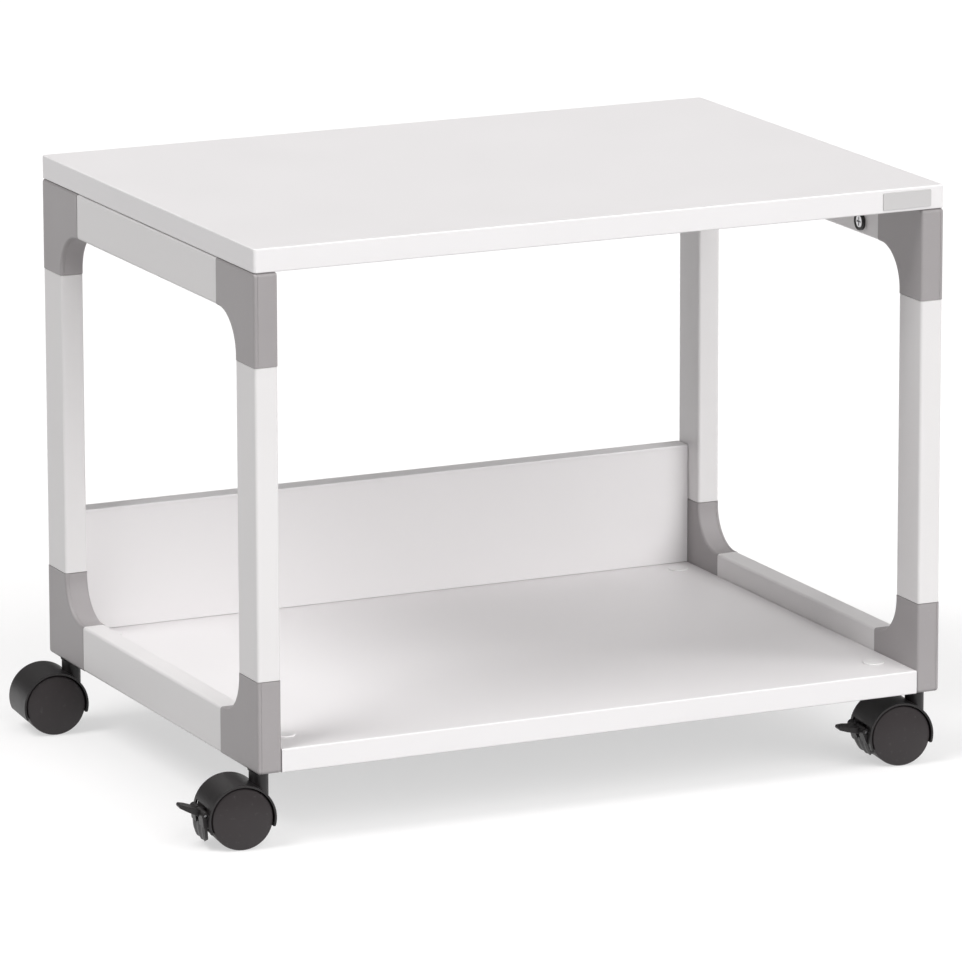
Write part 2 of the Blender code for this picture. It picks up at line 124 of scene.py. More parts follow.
# Brake pedals, from the pivot
PIN_RADIUS = 0.0015
KNUCKLE_RADIUS = 0.0032
KNUCKLE_INNER = 0.0039
KNUCKLE_OUTER = 0.0172
SHOE_INNER = 0.0254
SHOE_OUTER = 0.0284
SHOE_RELIEF = 0.0006
SHOE_HALF_WIDTH = 0.017
SHOE_TOP = math.radians(-8.0)
SHOE_BOTTOM = math.radians(-38.0)
SHOE_RIBS = 3
SHOE_STEPS = 60
SHOE_FOOT_RADIUS = 0.0094
ARM_SECTION = ((-0.0030, -0.0095), (-0.0006, -0.0095), (0.0027, -0.0012), (-0.0026, -0.0012))
LEVER_REACH = 0.0188
LEVER_HALF_WIDTH = 0.0075
LEVER_WAIST_PART = 0.62
LEVER_TIP_PART = 0.55
LEVER_TIP_ROUND = 0.0015
LEVER_EDGE = 0.0005
LEVER_BACK = 0.0100
BRAKE_WINDOW_HALF = 0.018
BRAKE_WINDOW_TOP = 0.009
BRAKE_WINDOW_START = math.radians(-60.0)
BRAKE_WINDOW_END = math.radians(20.0)
LUG_ROOT = 0.020

# Cams in the top rails
CAM_RADIUS = 0.0075
CAM_FLANGE = 0.003
CAM_SHANK_RADIUS = 0.0057
CAM_SCREW_RADIUS = 0.0052
CAM_EDGE = 0.0006
CAM_SUNK = 0.0008
CROSS_WIDTH = 0.0016
CROSS_REACH = 0.72

# Light: the tent's strength at the horizon and overhead, then for each lamp the direction it shines
# from, its strength, its spread and whether it makes highlights
TENT_HORIZON = 0.07
TENT_ZENITH = 0.51
LAMPS = (
    ("key", (-0.53, -0.12, 0.84), 1.70, math.radians(28.0), True),
    ("fill", (0.28, -0.84, 0.46), 2.70, math.radians(66.0), False),
)

# Floor: its own glow, and how much of the light that falls on it comes back up
FLOOR_GLOW = 0.56
FLOOR_BOUNCE = 0.36

SIDES = ("left", "right")
ENDS = ("front", "rear")
CORNERS = [f"{end}_{side}" for end in ENDS for side in SIDES]
SMOOTH = math.radians(35.0)
HAIR = 0.0003


# Shapes

def finished_mesh(bm, name):
    """Closes the bmesh's work: outward normals, round faces smooth and real edges sharp."""
    bmesh.ops.recalc_face_normals(bm, faces=bm.faces)
    mesh = bpy.data.meshes.new(name)
    bm.to_mesh(mesh)
    bm.free()
    mesh.shade_smooth()
    mesh.set_sharp_from_angle(angle=SMOOTH)
    return mesh


def arc(centre, radius, start, end, steps):
    """Points along an arc, both ends included."""
    points = []
    for i in range(steps + 1):
        angle = start + (end - start) * i / steps
        points.append((centre[0] + radius * math.cos(angle), centre[1] + radius * math.sin(angle)))
    return points


def circle(centre, radius, steps=64):
    return arc(centre, radius, 0, math.tau, steps)[:-1]


def rectangle(low, high):
    return [(low[0], low[1]), (high[0], low[1]), (high[0], high[1]), (low[0], high[1])]


def rounded_rectangle(size_a, size_b, radius, steps=8):
    a, b = size_a / 2 - radius, size_b / 2 - radius
    quarter = math.pi / 2
    points = []
    for i, centre in enumerate(((a, b), (-a, b), (-a, -b), (a, -b))):
        points += arc(centre, radius, i * quarter, (i + 1) * quarter, steps)
    return points


# Turns (a, b, along) into (x, y, z) for a shape that runs along each axis
AXES = {
    "X": lambda a, b, along: (along, a, b),
    "Y": lambda a, b, along: (a, along, b),
    "Z": lambda a, b, along: (a, b, along),
}


def swept(size_a, size_b, radius, profile, axis, capped=False):
    """Runs a profile of (inset, along) points round a rounded rectangle. It is closed into a ring, or
    capped with a face at each end."""
    bm = bmesh.new()
    rings = []
    for inset, along in profile:
        corner = max(radius - inset, HAIR)
        outline = rounded_rectangle(size_a - 2 * inset, size_b - 2 * inset, corner)
        rings.append([bm.verts.new(AXES[axis](a, b, along)) for a, b in outline])
    pairs = list(zip(rings, rings[1:]))
    if capped:
        bm.faces.new(rings[0])
        bm.faces.new(rings[-1])
    else:
        pairs.append((rings[-1], rings[0]))
    for low, high in pairs:
        for i in range(len(low)):
            j = (i + 1) % len(low)
            bm.faces.new((low[i], low[j], high[j], high[i]))
    return finished_mesh(bm, "swept")


def prism(outline, axis, low, high, edge=0.0, segments=3):
    """Extrudes a closed outline along an axis and rounds the edges round both ends."""
    bm = bmesh.new()
    rings = []
    for along in (low, high):
        rings.append([bm.verts.new(AXES[axis](a, b, along)) for a, b in outline])
    ends = [bm.faces.new(ring) for ring in rings]
    rims = [rim for face in ends for rim in face.edges]
    for i in range(len(outline)):
        j = (i + 1) % len(outline)
        bm.faces.new((rings[0][i], rings[0][j], rings[1][j], rings[1][i]))
    if edge:
        bmesh.ops.bevel(bm, geom=rims, offset=edge, segments=segments, profile=0.5, affect="EDGES")
    return finished_mesh(bm, "prism")


def lofted(sections, axis):
    """Joins outlines of the same number of points, each at its own place along an axis, and closes the
    two ends."""
    bm = bmesh.new()
    rings = []
    for outline, along in sections:
        rings.append([bm.verts.new(AXES[axis](a, b, along)) for a, b in outline])
    bm.faces.new(rings[0])
    bm.faces.new(rings[-1])
    for low, high in zip(rings, rings[1:]):
        for i in range(len(low)):
            j = (i + 1) % len(low)
            bm.faces.new((low[i], low[j], high[j], high[i]))
    return finished_mesh(bm, "lofted")


def turned(profile, steps=96):
    """Revolves (radius, height) points about Z. A profile that doesn't start and end on the axis is
    closed into a ring."""
    bm = bmesh.new()
    rings = []
    for radius, height in profile:
        if radius == 0:
            rings.append([bm.verts.new((0, 0, height))])
        else:
            rings.append([bm.verts.new((x, y, height)) for x, y in circle((0, 0), radius, steps)])
    pairs = list(zip(rings, rings[1:]))
    if profile[0][0] > 0:
        pairs.append((rings[-1], rings[0]))
    for low, high in pairs:
        for i in range(steps):
            j = (i + 1) % steps
            corners = [low[i % len(low)], low[j % len(low)], high[j % len(high)], high[i % len(high)]]
            bm.faces.new(list(dict.fromkeys(corners)))
    return finished_mesh(bm, "turned")


def combined(mesh, *steps):
    """Joins and cuts a mesh with others, in order; each step is (operation, mesh)."""
    made = []
    for each in (mesh, *(tool for _, tool in steps)):
        thing = bpy.data.objects.new("working", each)
        bpy.context.scene.collection.objects.link(thing)
        made.append(thing)
    for (operation, _), tool in zip(steps, made[1:]):
        modifier = made[0].modifiers.new(operation, "BOOLEAN")
        modifier.operation = operation
        modifier.object = tool
        modifier.solver = "EXACT"
    bpy.context.view_layer.update()
    graph = bpy.context.evaluated_depsgraph_get()
    result = bpy.data.meshes.new_from_object(made[0].evaluated_get(graph))
    for thing in made:
        bpy.data.objects.remove(thing, do_unlink=True)
    result.shade_smooth()
    result.set_sharp_from_angle(angle=SMOOTH)
    return result


def middle_of(node):
    low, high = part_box(node)
    return (low + high) / 2


def size_of(node):
    low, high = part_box(node)
    return high - low


def piece(name, mesh, look, body, nodes=(), matrix=None):
    """Adds a piece that rides on a body and stands for the CAD nodes named."""
    if matrix:
        mesh = mesh.copy()
        mesh.transform(matrix)
    mesh.materials.append(look)
    made = bpy.data.objects.new(name, mesh)
    bpy.context.scene.collection.objects.link(made)
    weighted = made.modifiers.new("weighted_normals", "WEIGHTED_NORMAL")
    weighted.keep_sharp = True
    weighted.weight = 100
    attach(made, body)
    if nodes:
        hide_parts(*nodes)
    return made


# Materials

def material(name, colour, roughness, metallic=0.0, grain=1500.0, relief=0.00003, stretch=(1, 1, 1),
             mottle=0.02, mottle_scale=14.0, gloss_change=0.05, worn=None):
    """A Principled surface with a fine grain in relief, a slow change of colour and of gloss, and
    where worn is given, thin lighter scuffs: (colour, amount)."""
    made = bpy.data.materials.new(name)
    made.use_nodes = True
    nodes, links = made.node_tree.nodes, made.node_tree.links
    shader = nodes["Principled BSDF"]
    shader.inputs["Metallic"].default_value = metallic
    place = nodes.new("ShaderNodeTexCoord")
    mapping = nodes.new("ShaderNodeMapping")
    mapping.inputs["Scale"].default_value = stretch
    links.new(place.outputs["Object"], mapping.inputs["Vector"])

    def noise(scale, detail):
        made_noise = nodes.new("ShaderNodeTexNoise")
        made_noise.inputs["Scale"].default_value = scale
        made_noise.inputs["Detail"].default_value = detail
        links.new(mapping.outputs["Vector"], made_noise.inputs["Vector"])
        return made_noise.outputs["Fac"]

    fine = noise(grain, 2.0)
    bump = nodes.new("ShaderNodeBump")
    bump.inputs["Distance"].default_value = relief
    links.new(fine, bump.inputs["Height"])
    links.new(bump.outputs["Normal"], shader.inputs["Normal"])

    slow = noise(mottle_scale, 4.0)
    tint = nodes.new("ShaderNodeValToRGB")
    dark, light = tint.color_ramp.elements
    dark.position, light.position = 0.3, 0.7
    dark.color = (*(value * (1 - mottle) for value in colour), 1.0)
    light.color = (*(value * (1 + mottle) for value in colour), 1.0)
    links.new(slow, tint.inputs["Fac"])
    surface = tint.outputs["Color"]
    if worn:
        scuff_colour, amount = worn
        scuffs = nodes.new("ShaderNodeMapRange")
        scuffs.inputs["From Min"].default_value = 0.62
        scuffs.inputs["From Max"].default_value = 0.80
        scuffs.inputs["To Max"].default_value = amount
        links.new(noise(mottle_scale * 22, 8.0), scuffs.inputs["Value"])
        blend = nodes.new("ShaderNodeMix")
        blend.data_type = "RGBA"
        links.new(scuffs.outputs["Result"], blend.inputs["Factor"])
        links.new(surface, blend.inputs["A"])
        blend.inputs["B"].default_value = (*scuff_colour, 1.0)
        surface = blend.outputs["Result"]
    links.new(surface, shader.inputs["Base Color"])

    gloss = nodes.new("ShaderNodeMapRange")
    gloss.inputs["From Min"].default_value = 0.3
    gloss.inputs["From Max"].default_value = 0.7
    gloss.inputs["To Min"].default_value = roughness - gloss_change
    gloss.inputs["To Max"].default_value = roughness + gloss_change
    links.new(slow, gloss.inputs["Value"])
    links.new(gloss.outputs["Result"], shader.inputs["Roughness"])
    return made


MELAMINE = material("melamine", (0.785, 0.768, 0.772), 0.42, grain=1100.0, relief=0.00004, mottle=0.004,
                    gloss_change=0.015)
BANDING = material("edge_banding", (0.81, 0.795, 0.80), 0.40, grain=700.0, relief=0.00002,
                   mottle=0.008)
POWDER_COAT = material("powder_coat", (0.76, 0.745, 0.745), 0.36, grain=850.0, relief=0.00005,
                       mottle=0.012)
GREY_PLASTIC = material("grey_plastic", (0.345, 0.326, 0.330), 0.40, grain=2600.0, relief=0.00005,
                        mottle=0.025, worn=((0.45, 0.44, 0.44), 0.25))
BLACK_NYLON = material("black_nylon", (0.012, 0.0105, 0.011), 0.40, grain=2200.0, relief=0.00004,
                       mottle=0.10, worn=((0.06, 0.055, 0.055), 0.35))
WHEEL_NYLON = material("wheel_nylon", (0.024, 0.0195, 0.0205), 0.48, grain=1800.0, relief=0.00004,
                       mottle=0.10, worn=((0.09, 0.085, 0.085), 0.35))
PEDAL_NYLON = material("pedal_nylon", (0.012, 0.0105, 0.011), 0.46, grain=2000.0, relief=0.00004,
                       mottle=0.10, worn=((0.06, 0.055, 0.055), 0.4))
CAM_PLASTIC = material("cam_plastic", (0.018, 0.018, 0.018), 0.42, grain=2400.0, mottle=0.08)
CAP_PLASTIC = material("cap_plastic", (0.80, 0.79, 0.79), 0.38, grain=2400.0, mottle=0.01)
SLEEVE_PLASTIC = material("sleeve_plastic", (0.02, 0.02, 0.02), 0.52, grain=2200.0, mottle=0.08)
LABEL_METAL = material("label_metal", (0.60, 0.59, 0.59), 0.34, metallic=0.3, grain=900.0,
                       relief=0.00002, stretch=(0.02, 1, 1), mottle=0.04)
ZINC = material("zinc", (0.62, 0.62, 0.63), 0.32, metallic=1.0, grain=1400.0, relief=0.00003,
                stretch=(1, 1, 0.1), mottle=0.06, gloss_change=0.08)


# Boards

def rounded_band(thickness, height):
    """A band's section, its outer face at 0 and its inner one at thickness, the outer edges round."""
    quarter = math.pi / 2
    r = BAND_ROUND
    section = [(thickness, 0)]
    section += arc((r, r), r, 3 * quarter, 2 * quarter, 5)
    section += arc((r, height - r), r, 2 * quarter, quarter, 5)
    return section + [(thickness, height)]


def board(low, high, edge=2 * SEAM):
    """A plain board with a hair of chamfer, so that a seam shows where it meets a band."""
    return prism(rectangle(low[:2], high[:2]), "Z", low[2], high[2], edge=edge, segments=1)


def add_top_panel():
    low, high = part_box("top_panel_edge_band")
    centre = Matrix.Translation(((low.x + high.x) / 2, (low.y + high.y) / 2, low.z))
    wide, deep, thick = high - low
    inset = BAND + SEAM
    chamfer = 2 * SEAM
    core = [(inset + chamfer, 0), (inset, chamfer), (inset, thick - chamfer), (inset + chamfer, thick)]
    piece("top_panel_core", swept(wide, deep, BOARD_CORNER, core, "Z", capped=True), MELAMINE,
          "frame", ["top_panel"], centre)
    band = swept(wide, deep, BOARD_CORNER, rounded_band(BAND, thick), "Z")
    piece("top_panel_banding", band, BANDING, "frame", ["top_panel_edge_band"], centre)
    low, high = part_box("label_plate")
    wide, thick, tall = high - low
    edge = thick / 3
    profile = [(0, thick), (0, edge), (edge / 3, edge / 3), (edge, 0)]
    place = Matrix.Translation(((low.x + high.x) / 2, low.y, (low.z + high.z) / 2))
    plate = swept(wide, tall, LABEL_CORNER, profile, "Y", capped=True)
    piece("blank_label", plate, LABEL_METAL, "frame", ["label_plate"], place)


def cap_mesh():
    """A round push-in cover, its top at 0: a low dome with a round edge, on a short shank."""
    low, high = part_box("shelf_cap_front_left")
    radius, tall = (high.x - low.x) / 2, high.z - low.z
    shank = radius * CAP_SHANK_PART
    profile = [(0, -tall), (shank, -tall), (shank, -CAP_PROUD), (radius - HAIR, -CAP_PROUD),
               (radius, HAIR - CAP_PROUD)]
    profile += arc((radius - CAP_ROUND, -CAP_ROUND), CAP_ROUND, 0, math.pi / 2, 4)
    return turned(profile + [(0, 0)], 64)


def add_shelf():
    low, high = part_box("lower_shelf")
    band_low, band_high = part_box("shelf_edge_band")
    low.y = band_high.y + SEAM
    holes = []
    cap = cap_mesh()
    for corner in CORNERS:
        node = f"shelf_cap_{corner}"
        spot, top = middle_of(node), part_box(node)[1].z
        hole = circle((spot.x, spot.y), size_of(node).x / 2 * CAP_HOLE_PART)
        holes.append(("DIFFERENCE", prism(hole, "Z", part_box(node)[0].z - HAIR, high.z + BAND)))
        piece(f"cap_{corner}", cap, CAP_PLASTIC, "frame", [node],
              Matrix.Translation((spot.x, spot.y, top)))
    piece("shelf_core", combined(board(low, high), *holes), MELAMINE, "frame",
          ["lower_shelf"])
    thick = high.z - low.z
    section = [(band_low.y + a, low.z + b) for a, b in rounded_band(BAND, thick)]
    piece("shelf_banding", prism(section, "X", band_low.x, band_high.x), BANDING, "frame",
          ["shelf_edge_band"])


def add_back_panel():
    low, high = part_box("back_panel")
    band_low, band_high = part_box("back_panel_edge_band")
    high.z = band_low.z - SEAM
    piece("back_panel_core", board(low, high), MELAMINE, "frame", ["back_panel"])
    thick = band_high.y - band_low.y
    section = [(band_low.y + b, band_high.z - a) for a, b in rounded_band(BAND, thick)]
    piece("back_panel_banding", prism(section, "X", band_low.x, band_high.x), BANDING, "frame",
          ["back_panel_edge_band"])


# Side frames

def tube(node, axis, holes=()):
    """A rectangular tube with round corners, as long as its node, about its middle."""
    size = size_of(node)
    length = size["XYZ".index(axis)]
    across = [size[i] for i in range(3) if i != "XYZ".index(axis)]
    half, chamfer = length / 2, TUBE_CHAMFER
    profile = [(chamfer, -half), (0, chamfer - half), (0, half - chamfer), (chamfer, half),
               (TUBE_WALL, half), (TUBE_WALL, -half)]
    mesh = swept(*across, TUBE_CORNER, profile, axis)
    return combined(mesh, *holes) if holes else mesh


def corner_mesh(with_socket, seam_side):
    """An L-shaped moulded connector in the YZ plane, its outer corner at the origin and its legs along
    +y and +z: a fillet inside, round edges, a parting line near the face on the seam side, and a spigot
    on the end of each leg."""
    size = size_of("corner_bottom_front_left")
    thick, leg = size.x, size.y - SPIGOT_LENGTH
    wide = round(size_of("rail_bottom_left").z, 3)
    half = thick / 2

    def outline(inset):
        points = arc((CORNER_ROUND,) * 2, CORNER_ROUND - inset, math.pi, 1.5 * math.pi, 8)
        points += [(leg, inset), (leg, wide - inset)]
        points += arc((wide + CORNER_FILLET,) * 2, CORNER_FILLET + inset, 1.5 * math.pi, math.pi, 32)
        return points + [(wide - inset, leg), (inset, leg)]

    quarter = math.pi / 2
    side = [(half - y, r) for r, y in arc((CORNER_EDGE,) * 2, CORNER_EDGE, math.pi, 3 * quarter, 6)]
    seam = half - PARTING_INSET
    profile = [(seam_side * along, inset) for along, inset in reversed(side)]
    profile += [(seam_side * (seam + PARTING_DEPTH), 0), (seam_side * seam, PARTING_DEPTH),
                (seam_side * (seam - PARTING_DEPTH), 0)]
    profile += [(-seam_side * along, inset) for along, inset in side]
    body = lofted([(outline(inset), along) for along, inset in profile], "X")
    narrow, low, high = half - SPIGOT_CLEARANCE, SPIGOT_CLEARANCE, wide - SPIGOT_CLEARANCE
    root, end = leg - wide / 2, leg + SPIGOT_LENGTH
    steps = [
        ("UNION", prism(rectangle((-narrow, root), (narrow, end)), "Z", low, high)),
        ("UNION", prism(rectangle((-narrow, low), (narrow, high)), "Z", root, end)),
    ]
    if with_socket:
        sleeve_low, sleeve_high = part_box("socket_front_left")
        spot = middle_of("socket_front_left").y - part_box("corner_bottom_front_left")[0].y
        hole = circle((0, spot), SOCKET_HOLE_RADIUS)
        deep = sleeve_high.z - sleeve_low.z
        steps.append(("DIFFERENCE", prism(hole, "Z", -deep, deep)))
    return combined(body, *steps)


def cam_meshes():
    """The cam's housing and the metal cam in it, about Z, the housing's face at 0."""
    low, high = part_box("top_cam_front_left")
    deep = high.x - low.x
    edge, r, floor = CAM_EDGE, CAM_SCREW_RADIUS, -2 * CAM_FLANGE
    housing = turned([
        (0, -deep), (CAM_SHANK_RADIUS, -deep), (CAM_SHANK_RADIUS, -CAM_FLANGE),
        (CAM_RADIUS, -CAM_FLANGE), (CAM_RADIUS, -edge), (CAM_RADIUS - edge / 3, -edge / 3),
        (CAM_RADIUS - edge, 0), (r + 2 * edge, 0), (r + edge / 2, -edge), (r + edge / 2, floor), (0, floor),
    ], 64)
    top = -CAM_SUNK
    screw = turned([(0, HAIR + floor), (r, HAIR + floor), (r, top - HAIR), (r - HAIR, top), (0, top)], 64)
    arm = r * CROSS_REACH
    cuts = []
    for a, b in ((arm, CROSS_WIDTH / 2), (CROSS_WIDTH / 2, arm)):
        cuts.append(("DIFFERENCE", prism(rectangle((-a, -b), (a, b)), "Z", top - CAM_FLANGE / 2, 1.0)))
    return housing, combined(screw, *cuts)


def add_side_frames():
    corners = {(socket, seam): corner_mesh(socket, seam) for socket in (True, False) for seam in (-1, 1)}
    housing, screw = cam_meshes()
    post = tube("post_front_left", "Z")
    rail = tube("rail_bottom_left", "Y")
    for side in SIDES:
        inward = 1 if side == "left" else -1
        for end in ENDS:
            name = f"{end}_{side}"
            node = f"post_{name}"
            piece(f"tube_{node}", post, POWDER_COAT, "frame", [node],
                  Matrix.Translation(middle_of(node)))
            for level in ("bottom", "top"):
                node = f"corner_{level}_{name}"
                seam = -inward if (level == "bottom") == (end == "front") else inward
                mesh = corners[level == "bottom", seam]
                low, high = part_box(node)
                outer = Vector(((low.x + high.x) / 2, low.y if end == "front" else high.y,
                                low.z if level == "bottom" else high.z))
                turn = Matrix.Diagonal((1, 1, 1, 1))
                if level == "bottom" and end == "rear":
                    turn = Matrix.Rotation(math.pi, 4, "Z")
                elif level == "top":
                    turn = Matrix.Rotation(math.pi, 4, "Y" if end == "front" else "X")
                piece(f"moulded_{node}", mesh, GREY_PLASTIC, "frame", [node],
                      Matrix.Translation(outer) @ turn)
            node = f"top_cam_{name}"
            low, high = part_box(node)
            face = Vector((high.x if side == "left" else low.x, *middle_of(node).yz))
            place = Matrix.Translation(face) @ Matrix.Rotation(inward * math.pi / 2, 4, "Y")
            piece(f"housing_{node}", housing, CAM_PLASTIC, "frame", [node], place)
            piece(f"screw_{node}", screw, ZINC, "frame", matrix=place)
        node = f"rail_bottom_{side}"
        piece(f"tube_{node}", rail, POWDER_COAT, "frame", [node],
              Matrix.Translation(middle_of(node)))
        node = f"rail_top_{side}"
        centre = middle_of(node)
        holes = []
        for end in ENDS:
            cam = middle_of(f"top_cam_{end}_{side}") - centre
            hole = circle((cam.y, cam.z), CAM_SHANK_RADIUS + HAIR)
            span = sorted((0, inward * size_of(node).x))
            holes.append(("DIFFERENCE", prism(hole, "X", *span)))
        piece(f"tube_{node}", tube(node, "Y", holes), POWDER_COAT, "frame",
              [node], Matrix.Translation(centre))


# Casters. Each is made in a frame with x along the trail, y along the axle and z up from the floor.

def caster_frame(name):
    """That frame's place in the stand, read from the swivel and rolling joints."""
    swivel, roll = JOINTS[f"swivel_{name}"], JOINTS[f"roll_front_{name}"]
    along_axle = Vector(roll["axis"])
    along_trail = along_axle.cross(Vector((0, 0, 1)))
    place = Matrix((along_trail, along_axle, (0, 0, 1))).transposed().to_4x4()
    place.translation = (swivel["pos_m"][0], swivel["pos_m"][1], 0)
    return place


def hood_mesh(axle, top, pivot=None):
    """The moulded body: a mudguard over both wheels, a web between them and a neck for the stem. The
    one with a brake has a window for the pedal's shoe and a lug for its pin."""
    far = 2 * HOOD_HALF_WIDTH
    outline = arc(axle, HOOD_RADIUS, HOOD_TRAILING_END, HOOD_LEADING_END, 90)
    body = prism(outline, "Y", -HOOD_HALF_WIDTH, HOOD_HALF_WIDTH, edge=HOOD_EDGE)
    neck = turned([(0, axle[1]), (NECK_RADIUS, axle[1]), (NECK_RADIUS, top - NECK_EDGE),
                   (NECK_RADIUS - NECK_EDGE / 3, top - NECK_EDGE / 3), (NECK_RADIUS - NECK_EDGE, top),
                   (0, top)], 64)
    well = circle(axle, WELL_RADIUS, 128)
    steps = [
        ("UNION", neck),
        ("DIFFERENCE", prism(well, "Y", WEB_HALF, far)),
        ("DIFFERENCE", prism(well, "Y", -far, -WEB_HALF)),
    ]
    if pivot:
        window = arc(axle, SHOE_INNER - 2 * HAIR, BRAKE_WINDOW_START, BRAKE_WINDOW_END, 32)
        ceiling = axle[1] + BRAKE_WINDOW_TOP
        window[-1] = (window[-1][0], ceiling)
        window += [(axle[0] + far, ceiling), (axle[0] + far, window[0][1])]
        lug = arc(pivot, KNUCKLE_RADIUS - HAIR, -math.pi / 2, math.pi / 2, 16)
        root = axle[0] + LUG_ROOT
        lug += [(root, lug[-1][1]), (root, lug[0][1])]
        steps += [
            ("DIFFERENCE", prism(window, "Y", -BRAKE_WINDOW_HALF, BRAKE_WINDOW_HALF)),
            ("UNION", prism(lug, "Y", HAIR - WEB_HALF, WEB_HALF - HAIR, edge=HAIR)),
            ("DIFFERENCE", prism(circle(pivot, PIN_RADIUS), "Y", -far, far)),
        ]
    steps += [
        ("DIFFERENCE", prism(circle(axle, AXLE_RADIUS), "Y", -far, far)),
        ("DIFFERENCE", prism(circle((0, 0), BORE_RADIUS), "Z", BORE_BOTTOM, 2 * top)),
    ]
    return combined(body, *steps)


def wheel_mesh(radius):
    """One wheel about Z: a domed disc, a round shoulder, a tread with a moulding groove near the disc,
    and a hub in a recess with a blind bore for the axle."""
    edge = radius - TREAD_ROUND
    profile = []
    for i in range(13):
        r = edge * i / 12
        profile.append((r, WHEEL_OUTER - DISC_FALL * (r / radius) ** DISC_POWER))
    shoulder = profile[-1][1] - TREAD_ROUND
    profile += arc((edge, shoulder), TREAD_ROUND, math.radians(65), 0, 5)
    groove = shoulder - 4 * RIM_GROOVE
    profile += [
        (radius, groove + RIM_GROOVE), (radius - RIM_GROOVE, groove), (radius, groove - RIM_GROOVE),
        (radius, WHEEL_INNER + HAIR), (radius - HAIR, WHEEL_INNER), (RECESS_RADIUS, WHEEL_INNER),
        (RECESS_RADIUS, WHEEL_RECESS), (HUB_RADIUS, WHEEL_RECESS), (HUB_RADIUS, WHEEL_INNER - 2 * HAIR),
        (AXLE_RADIUS, WHEEL_INNER - 2 * HAIR), (AXLE_RADIUS, WHEEL_RECESS - 2 * HAIR),
        (0, WHEEL_RECESS - 2 * HAIR),
    ]
    return turned(profile, 128)


def pedal_mesh(axle):
    """The pedal pressed down, about its pivot: a ribbed shoe with a round foot that hugs both treads,
    two knuckles on the pin, an arm from each to the shoe, and a lever that narrows to its tip."""
    foot = SHOE_OUTER * math.sin(SHOE_BOTTOM)
    sides = SHOE_HALF_WIDTH - SHOE_FOOT_RADIUS
    sections = []
    for i in range(SHOE_STEPS + 1):
        across = SHOE_HALF_WIDTH * (2 * i / SHOE_STEPS - 1)
        beyond = max(abs(across) - sides, 0)
        rise = SHOE_FOOT_RADIUS - math.sqrt(SHOE_FOOT_RADIUS ** 2 - beyond ** 2)
        bottom = math.asin((foot + rise) / SHOE_OUTER)
        wave = math.cos(math.pi * SHOE_RIBS * across / SHOE_HALF_WIDTH)
        edge = max(abs(across) - SHOE_HALF_WIDTH + SHOE_RELIEF, 0)
        outer = SHOE_OUTER - edge - SHOE_RELIEF * (1 - wave) / 2
        outline = arc(axle, outer, SHOE_TOP, bottom, 24) + arc(axle, SHOE_INNER, bottom, SHOE_TOP, 24)
        sections.append((outline, across))
    steps = []
    for side in (-1, 1):
        ends = sorted((side * KNUCKLE_INNER, side * KNUCKLE_OUTER))
        steps.append(("UNION", prism(circle((0, 0), KNUCKLE_RADIUS), "Y", *ends, edge=HAIR)))
        steps.append(("UNION", prism(ARM_SECTION, "Y", ends[0] + HAIR, ends[1] - HAIR)))
    lever = [(0.0012, -0.0034), (LEVER_REACH - 0.0008, 0.0004)]
    lever += arc((LEVER_REACH - 0.0014, 0.0019), LEVER_TIP_ROUND, -1.1, 1.5, 8) + [(0.0024, 0.0025)]
    half, tip = LEVER_HALF_WIDTH, LEVER_HALF_WIDTH * LEVER_TIP_PART
    waist, end = LEVER_REACH * LEVER_WAIST_PART, LEVER_REACH + HAIR
    plan = [(-LEVER_BACK, -half), (waist, -half), (end, -tip), (end, tip), (waist, half),
            (-LEVER_BACK, half)]
    tread = combined(prism(lever, "Y", -half, half, edge=LEVER_EDGE),
                     ("INTERSECT", prism(plan, "Z", -KNUCKLE_INNER * 2, KNUCKLE_INNER * 2)))
    slot = circle((0, 0), KNUCKLE_RADIUS + 2 * HAIR)
    gap = KNUCKLE_INNER - HAIR / 3
    far = 2 * SHOE_HALF_WIDTH
    steps += [
        ("UNION", tread),
        ("DIFFERENCE", prism(slot, "Y", -gap, gap)),
        ("DIFFERENCE", prism(circle((0, 0), PIN_RADIUS), "Y", -far, far)),
    ]
    return combined(lofted(sections, "Y"), *steps)


def add_casters():
    swivel, roll = JOINTS["swivel_front_left"], JOINTS["roll_front_front_left"]
    trail = (Vector(roll["pos_m"]) - Vector(swivel["pos_m"])).xy.length
    radius, top = roll["pos_m"][2], swivel["pos_m"][2]
    axle = (trail, radius)
    brake = JOINTS["brake_front_left_pivot"]
    reach = (Vector(brake["pos_m"]) - Vector(swivel["pos_m"])).xy.length
    pivot = (reach, brake["pos_m"][2])
    hoods = {False: hood_mesh(axle, top), True: hood_mesh(axle, top, pivot)}
    wheel = wheel_mesh(radius)
    pedal = pedal_mesh((axle[0] - pivot[0], axle[1] - pivot[1]))
    quarter = math.pi / 2
    for name in CORNERS:
        place = caster_frame(name)
        pivot_joint = JOINTS.get(f"brake_{name}_pivot")
        piece(f"mudguard_{name}", hoods[pivot_joint is not None], BLACK_NYLON, f"caster_{name}",
              [f"hood_{name}"], place)
        for word, turn in (("front", -quarter), ("back", quarter)):
            at_axle = Matrix.Translation((trail, 0, radius)) @ Matrix.Rotation(turn, 4, "X")
            piece(f"disc_{word}_{name}", wheel, WHEEL_NYLON, f"wheel_{word}_{name}_body",
                  [f"wheel_{word}_{name}"], place @ at_axle)
        if pivot_joint:
            lift = math.radians(pivot_joint["range_deg"][1])
            at_pivot = Matrix.Translation((pivot[0], 0, pivot[1])) @ Matrix.Rotation(-lift, 4, "Y")
            piece(f"tread_pedal_{name}", pedal, PEDAL_NYLON, f"brake_{name}",
                  [f"brake_pedal_{name}"], place @ at_pivot)


